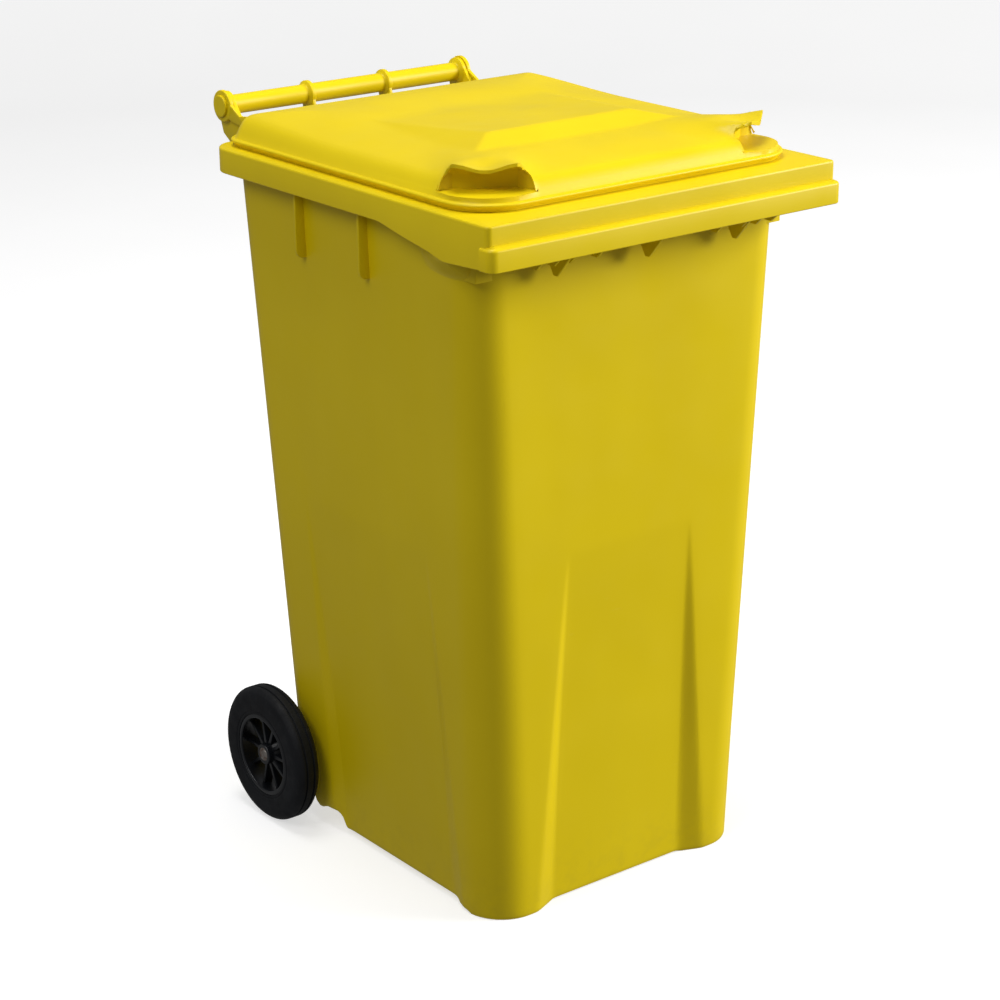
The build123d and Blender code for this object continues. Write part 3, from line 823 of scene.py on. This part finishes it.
def from_grip(out, e, side):
    c, s = math.cos(GRIP_TURN), math.sin(GRIP_TURN)
    return side * (GRIP_X + out * s + e * c), GRIP_Y - out * c + e * s


def lid_depth(x, y):
    """How far in from the lid's outline a place is."""
    x = abs(x)
    depth = min(LID_HALF - x, y - LID_FRONT, LID_REAR - y)
    ahead = LID_FRONT + LID_FRONT_CORNER - y
    behind = y - LID_REAR + LID_REAR_CORNER
    for over, radius in ((ahead, LID_FRONT_CORNER), (behind, LID_REAR_CORNER)):
        across = x - LID_HALF + radius
        if over > 0 and across > 0:
            depth = radius - math.hypot(across, over)
    return depth


def edge_profile(y, d):
    """The dome's height at a distance in from the lid's outline; its edge is higher at the rear."""
    points = [(8.0, 999.8), (12.0, 1006.5), (16.0, 1011.8), (20.0, 1015.2), (25.0, 1017.6), (31.0, DOME_EDGE)]
    crown = CROWN * (1 - (1 - min(1.0, max(0.0, d - 31.0) / 95.0)) ** 2)
    return BEAD_Z + (along(points, d) - BEAD_Z) * (1 + REAR_RISE * smooth(380, 590, y)) + crown


def panel_top(x, y):
    """The height of the raised panel, which slopes at the front and both sides and runs out at the rear."""
    top = blend(PANEL_TOP, PANEL_REAR, (y - PANEL_FRONT - PANEL_SLOPE) / 305.0)
    base = blend(PANEL_BASE, PANEL_BASE_REAR, smooth(230, 560, y))
    rise = PANEL_TOP - PANEL_BASE
    panel = soft_min(top, base + (PANEL_HALF - abs(x)) * rise / PANEL_HIP, 1.6)
    panel = soft_min(panel, base + (y - PANEL_FRONT) * rise / PANEL_SLOPE, 1.6)
    return soft_min(panel, base + (PANEL_END - y) * rise / PANEL_SLOPE, 1.6)


def lid_top(x, y, d):
    """The height of the lid's top at a place d in from its outline."""
    z = soft_max(edge_profile(y, d), panel_top(x, y), 2.0)
    out, e = to_grip(x, y)
    e = abs(e)
    if out < -GRIP_RUN or e > 90:
        return z
    near = smooth(-60, -14, out)
    tip = along([(41, 1.0), (44, 0.9), (46.5, 0.55), (52, 0.24), (61, 0.0)], e)
    wide = blend(1 - smooth(22, 78, e), tip, near)
    rise = GRIP_RISE * min(1.0, (out + GRIP_RUN) / GRIP_RUN) ** 2.1
    sag = GRIP_SAG * near * (1 - smooth(0, 40, e))
    return blend(z, max(z, DOME_EDGE), wide * near) + (rise - sag) * wide


def lid_under(x, y, d):
    """The height of the lid's underside, low enough to leave a floor under the finger pockets."""
    z = max(edge_profile(y, max(8.0, d)), panel_top(x, y)) - LID_WALL
    out, e = to_grip(x, y)
    pocket = smooth(-POCKET_DEPTH - 26, -POCKET_DEPTH - 3, out) * (1 - smooth(65, 84, abs(e)))
    return blend(z, min(z, POCKET_FLOOR - LID_WALL), pocket)


def lid_ring(d):
    """The lid's outline drawn in by d."""
    rf, rr = max(4.0, LID_FRONT_CORNER - d), max(4.0, LID_REAR_CORNER - d)
    half, front, rear = LID_HALF - d, LID_FRONT + d, LID_REAR - d
    edge = half - rf
    mid = min(95.0, edge * 0.5)
    xs = spread([-edge, -mid, mid, edge], [18, 14, 18])
    low, high = front + rf, rear - rr
    ys = spread([low, blend(low, high, 0.28), high], [22, 26])
    return plan(half, front, rear, rf, rr, xs, ys, rear_n=30, corner_n=56)


def grip_cutter():
    """What is cut from each front corner: the pocket under the hood, and all before the hood's edge."""
    bm = bmesh.new()
    edge = [(0, 4), (38, 0), (41, -1), (43.5, -5), (44.5, -14), (46, -19), (50, -21), (55, -17), (60, -6),
            (64, 6)]
    end = 96.0
    above_lid = 1062.0
    stops = [-end] + [-e for e, out in reversed(edge)] + [e for e, out in edge[1:]] + [end]
    line = spread(stops, [2] * (len(stops) - 1))
    hood_edge = [(along(edge, abs(e)), e) for e in line]

    def pocket_row(out, half, drop, side):
        points = []
        for k in range(49):
            e = blend(-half, half, k / 48)
            x, y = from_grip(out, e, side)
            sheet = blend(4.2, 2.4, smooth(40, 46, abs(e)))
            roof = lid_top(x, y, lid_depth(x, y)) - sheet - drop
            points.append((x, y, max(roof, POCKET_FLOOR + 1.0)))
        return points + [(*from_grip(out, e, side), POCKET_FLOOR) for e in (half, -half)]

    def front_row(places, side):
        points = [(*from_grip(out, e, side), above_lid) for out, e in places]
        return points + [(*from_grip(out, e, side), POCKET_FLOOR) for out, e in reversed(places)]

    for side in (1, -1):
        rows = [(-30, 40, 9.0), (-27, 43, 3.5), (-21, 52, 0.6), (-16, 64, 0.0), (-4, 64, 0.0), (5, 64, 0.0)]
        pocket = bmesh.new()
        skin(pocket, [pocket_row(*row, side) for row in rows], caps=True)
        front = bmesh.new()
        skin(front, [front_row(hood_edge, side), front_row([(120.0, e) for e in line], side)], caps=True)
        for part in (pocket, front):
            bmesh.ops.recalc_face_normals(part, faces=part.faces)
            merge(bm, part)
    return bm


def lid_shell(bm):
    """The lid's moulding without arms: flange, bead, dome and panel, open underneath."""
    def at(d, z):
        return [(x, y, z) for x, y, nx, ny in lid_ring(d)]

    def top(d):
        return [(x, y, lid_top(x, y, d)) for x, y, nx, ny in lid_ring(d)]

    def under(d):
        return [(x, y, lid_under(x, y, d)) for x, y, nx, ny in lid_ring(d)]

    flange = [(5.2, LID_BOTTOM), (4.8, 986.6), (1.0, 990.6), (0.2, 991.6), (0.0, 992.2), (0.0, 993.0),
              (0.4, 993.9), (1.3, 994.6), (2.6, 994.8), (4.4, 994.8), (5.2, 995.2), (5.9, 996.2)]
    rings = [at(*point) for point in flange]
    rings += [top(d) for d in spread([8.0, 12.0, 36.0, 100.0, 180.0, 262.0], [3, 12, 16, 26, 14])]
    outside = skin(bm, rings)
    bm.faces.new(outside[-1])
    hem = [(5.2, LID_BOTTOM), (7.4, LID_BOTTOM), (7.8, LID_BOTTOM + 0.6), (7.8, 991.0), (9.4, 994.0)]
    lower = [at(*point) for point in hem]
    lower += [under(d) for d in spread([11.5, 31.0, 100.0, 180.0, 262.0], [5, 14, 20, 8])]
    inside = skin(bm, lower)
    bm.faces.new(list(reversed(inside[-1])))
    bmesh.ops.remove_doubles(bm, verts=outside[0] + inside[0], dist=0.001)


def lid_arm(bm, side):
    """One hinge arm with its eye."""
    y, z = HANDLE_Y, HANDLE_Z
    arm = [(606, 988), (606, 1004), (640, 1008), (651, 1008.5), (668, 1006)]
    arm += round_eye(EYE_RADIUS, (170, 150, 128))
    arm += [(y - 8, z + 9), (y - 9, z - 9), (y - 14, z - 16), (688, 996), (651, 990.5), (625, 987.5)]
    edges = sorted((side * (EYE_X[0] + 0.4), side * (EYE_X[1] - 0.4)))
    prism(bm, arm, *edges, size=1.2)
    bore = PIN_RADIUS + 0.06
    eye = [(EYE_X[0], bore, 0), (EYE_X[1], bore, 0), (EYE_X[1], EYE_RADIUS, 1.4), (EYE_X[0], EYE_RADIUS, 1.0)]
    lathe(bm, arc_profile(eye), y, z, segments=64, side=side)


def cut(piece, cutter_bm):
    """Subtract a bmesh from a piece's mesh."""
    for v in cutter_bm.verts:
        v.co = place(v.co)
    mesh = bpy.data.meshes.new("cutter")
    cutter_bm.to_mesh(mesh)
    cutter_bm.free()
    tool = bpy.data.objects.new("cutter", mesh)
    bpy.context.scene.collection.objects.link(tool)
    modifier = piece.modifiers.new("cut", "BOOLEAN")
    modifier.operation = "DIFFERENCE"
    modifier.solver = "EXACT"
    modifier.use_self = True
    modifier.object = tool
    bpy.context.view_layer.update()
    result = bpy.data.meshes.new_from_object(piece.evaluated_get(bpy.context.evaluated_depsgraph_get()))
    piece.modifiers.remove(modifier)
    bpy.data.objects.remove(tool)
    piece.data = result


def lid():
    bm = bmesh.new()
    lid_shell(bm)
    piece = mesh_piece("lid_shell", bm, yellow, "lid", ["lid"])
    cut(piece, grip_cutter())
    bm = bmesh.new()
    bm.from_mesh(piece.data)
    for v in bm.verts:
        v.co = (v.co - Vector((0, FRONT, 0))) / MM
    for side in (1, -1):
        lid_arm(bm, side)
    for v in bm.verts:
        v.co = place(v.co)
    bm.to_mesh(piece.data)
    bm.free()
    piece.data.shade_smooth()
    piece.data.set_sharp_from_angle(angle=math.radians(32))


# ---------------------------------------------------------------- wheels


def tyre(side, name):
    """A solid rubber tyre: flat side walls, worn shoulders and two shallow tread grooves."""
    x0, x1 = TYRE_X
    r, bore = TYRE_RADIUS, TYRE_BORE + 0.03
    corners = [(x0 + 1.0, bore, 0.5), (x1 - 1.0, bore, 0.5), (x1 - 0.6, bore + 3, 0.8),
               (x1 - 1.6, bore + 4.5, 0.8), (x1 - 0.4, bore + 6, 0.8), (x1, r - 14, 4), (x1 - 2.2, r - 6, 2.5),
               (x1 - 8.0, r - 0.6, 3)]
    middle = (x0 + x1) / 2
    groove = r - 2.2
    for x in (middle + 6, middle - 6):
        corners += [(x + 1.6, r, 0.4), (x + 1.0, groove, 0.4), (x - 1.0, groove, 0.4), (x - 1.6, r, 0.4)]
    corners += [(x0 + 8.0, r - 0.6, 3), (x0 + 2.2, r - 6, 2.5), (x0, r - 14, 4), (x0 + 0.4, bore + 6, 0.8)]
    bm = bmesh.new()
    lathe(bm, arc_profile(corners), AXLE_Y, AXLE_Z, segments=128, side=side)
    mesh_piece(f"tyre_{name}_mesh", bm, rubber, f"wheel_{name}", [f"tyre_{name}"], sharp=40)


def spoke(bm, side, turn):
    """One tapering spoke with a rounded section."""
    length = (HUB_RADIUS - 3, TYRE_BORE - 3)
    part = bmesh.new()
    rings = []
    for t in (0.0, 0.12, 0.5, 0.88, 1.0):
        r = blend(*length, t)
        half = blend(3.4, 2.2, t) + 1.4 * (abs(2 * t - 1) ** 4)
        x0, x1 = blend(255.0, 258.0, t), blend(273.0, 270.0, t)
        rings.append([(side * x0, -half, r), (side * x1, -half * 0.8, r), (side * x1, half * 0.8, r),
                      (side * x0, half, r)])
    skin(part, rings, caps=True)
    bmesh.ops.recalc_face_normals(part, faces=part.faces)
    bevel_all(part, 0.8, angle=60)
    about_axle = Matrix.Translation((0, AXLE_Y, AXLE_Z)) @ Matrix.Rotation(turn, 4, "X")
    bmesh.ops.transform(part, matrix=about_axle, verts=part.verts)
    merge(bm, part)


def wheel_rim(side, name):
    """The moulded wheel: dished rim with an outer flange, hub, spokes and lock tower."""
    x0, x1 = TYRE_X
    bore = TYRE_BORE
    bm = bmesh.new()
    rim_section = [(x0 + 1, bore, 0.6), (x0 + 1, bore - 4, 0.8), (x1 - 14, bore - 5, 2),
                   (x1 - 6, bore - 6, 1.5), (x1 - 2.0, bore - 6.5, 1.0), (x1 - 0.8, bore - 4.5, 1.0),
                   (x1 - 1.8, bore, 0.6)]
    lathe(bm, arc_profile(rim_section), AXLE_Y, AXLE_Z, segments=128, side=side)
    h0, h1 = HUB_X
    axle_bore, thick = 10.06, 22
    hub = [(h0, axle_bore, 0), (h1, axle_bore, 0.4), (h1, HUB_RADIUS, 1.5), (272, HUB_RADIUS + 1, 2),
           (261, thick, 2), (h0, thick, 1)]
    lathe(bm, arc_profile(hub), AXLE_Y, AXLE_Z, segments=64, side=side)
    for k in range(SPOKES):
        spoke(bm, side, 2 * math.pi * (k + 0.5) / SPOKES)
    tower = ((3.06, 20.0), (3.06, 36.0), (5.9, 36.0), (6.5, 35.2), (6.5, 20.0))
    skin(bm, [round_ring(side * LOCK_X, AXLE_Y, r, AXLE_Z + z, 32) for r, z in tower], closed_loop=True)
    mesh_piece(f"wheel_{name}_mesh", bm, black, f"wheel_{name}", [f"wheel_rim_{name}"],
               sharp=40)


def dress(names, material):
    """Give CAD nodes that keep their shape a better material."""
    for name in names:
        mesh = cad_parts[name].data
        mesh.materials.clear()
        mesh.materials.append(material)


body()
lid()
for side, name in ((-1, "left"), (1, "right")):
    tyre(side, name)
    wheel_rim(side, name)
    dress([f"hinge_pin_{name}"], yellow)
    dress([f"axle_washer_{name}", f"lock_cap_{name}"], black)
    dress([f"lock_pin_{name}", f"lock_spring_{name}"], bright)
dress(["axle"], steel)
dress(["transponder"], resin)
dress(["transponder_plug"], black)


# ---------------------------------------------------------------- floor, lights and camera


def studio():
    """A pale round floor that curves up into a wall all round, which doesn't tint the bin, and a dim sky."""
    flat, curve, top = 5.5, 2.5, 8.0
    profile = [(0.01, 0.0), (flat, 0.0)]
    for a in range(10, 91, 10):
        a = math.radians(a)
        profile.append((flat + curve * math.sin(a), curve - curve * math.cos(a)))
    profile.append((flat + curve, top))
    bm = bmesh.new()
    rings = []
    for k in range(96):
        a = 2 * math.pi * k / 96
        rings.append([(r * math.cos(a), r * math.sin(a), z) for r, z in profile])
    skin(bm, rings, closed_ring=False, closed_loop=True)
    mesh = bpy.data.meshes.new("floor")
    bm.to_mesh(mesh)
    bm.free()
    mesh.shade_smooth()
    p = Paint("studio_floor")
    p.set(Roughness=0.85)
    p.shader.inputs["Specular IOR Level"].default_value = 0.1
    p.shader.inputs["Emission Color"].default_value = (1.0, 1.0, 1.0, 1.0)
    p.shader.inputs["Emission Strength"].default_value = 0.60
    base = p.mix(p.remap(p.noise(2.0), 0.3, 0.7), (0.56, 0.56, 0.56), (0.58, 0.58, 0.58))
    p.link(base, p.shader.inputs["Base Color"])
    mesh.materials.append(p.material)
    floor = bpy.data.objects.new("floor", mesh)
    floor.visible_diffuse = False
    floor.visible_glossy = False
    bpy.context.scene.collection.objects.link(floor)
    world = bpy.data.worlds.new("studio")
    world.use_nodes = True
    world.node_tree.nodes["Background"].inputs["Color"].default_value = (1.0, 1.0, 1.0, 1.0)
    world.node_tree.nodes["Background"].inputs["Strength"].default_value = 0.22
    bpy.context.scene.world = world


def lamp(name, place_at, aim, size, power, colour=(1.0, 1.0, 1.0)):
    data = bpy.data.lights.new(name, "AREA")
    data.shape = "DISK"
    data.size = size
    data.energy = power
    data.color = colour
    light = bpy.data.objects.new(name, data)
    light.location = place_at
    light.rotation_euler = (Vector(aim) - Vector(place_at)).to_track_quat("-Z", "Y").to_euler()
    bpy.context.scene.collection.objects.link(light)


def camera():
    """The camera at the photograph's viewing angle, looking a little down at the bin's left front."""
    azimuth, elevation, roll = math.radians(-37.2), math.radians(19.7), math.radians(-0.7)
    aim = place((-90.4, 300.0, 523.8))
    distance = 3.4978
    back = Vector((math.sin(azimuth) * math.cos(elevation), -math.cos(azimuth) * math.cos(elevation),
                   math.sin(elevation)))
    right = Vector((math.cos(azimuth), math.sin(azimuth), 0))
    up = back.cross(right)
    c, s = math.cos(roll), math.sin(roll)
    right, up = right * c + up * s, up * c - right * s
    data = bpy.data.cameras.new("camera")
    data.lens = 92.7
    data.sensor_width = 36.0
    data.shift_x = 0.0258
    data.shift_y = -0.0019
    data.clip_end = 100.0
    made = bpy.data.objects.new("camera", data)
    turn = Matrix((right, up, back)).transposed()
    made.matrix_world = Matrix.Translation(aim + back * distance) @ turn.to_4x4()
    bpy.context.scene.collection.objects.link(made)
    bpy.context.scene.camera = made


studio()
middle = (0.0, 0.0, 0.55)
lamp("key", (4.9, -3.6, 2.75), middle, 3.2, 480)
lamp("fill", (-2.6, -0.7, 3.2), middle, 1.8, 36)
lamp("top", (-0.4, 0.3, 4.6), middle, 2.0, 95)
camera()
bpy.context.scene.view_settings.view_transform = "Standard"
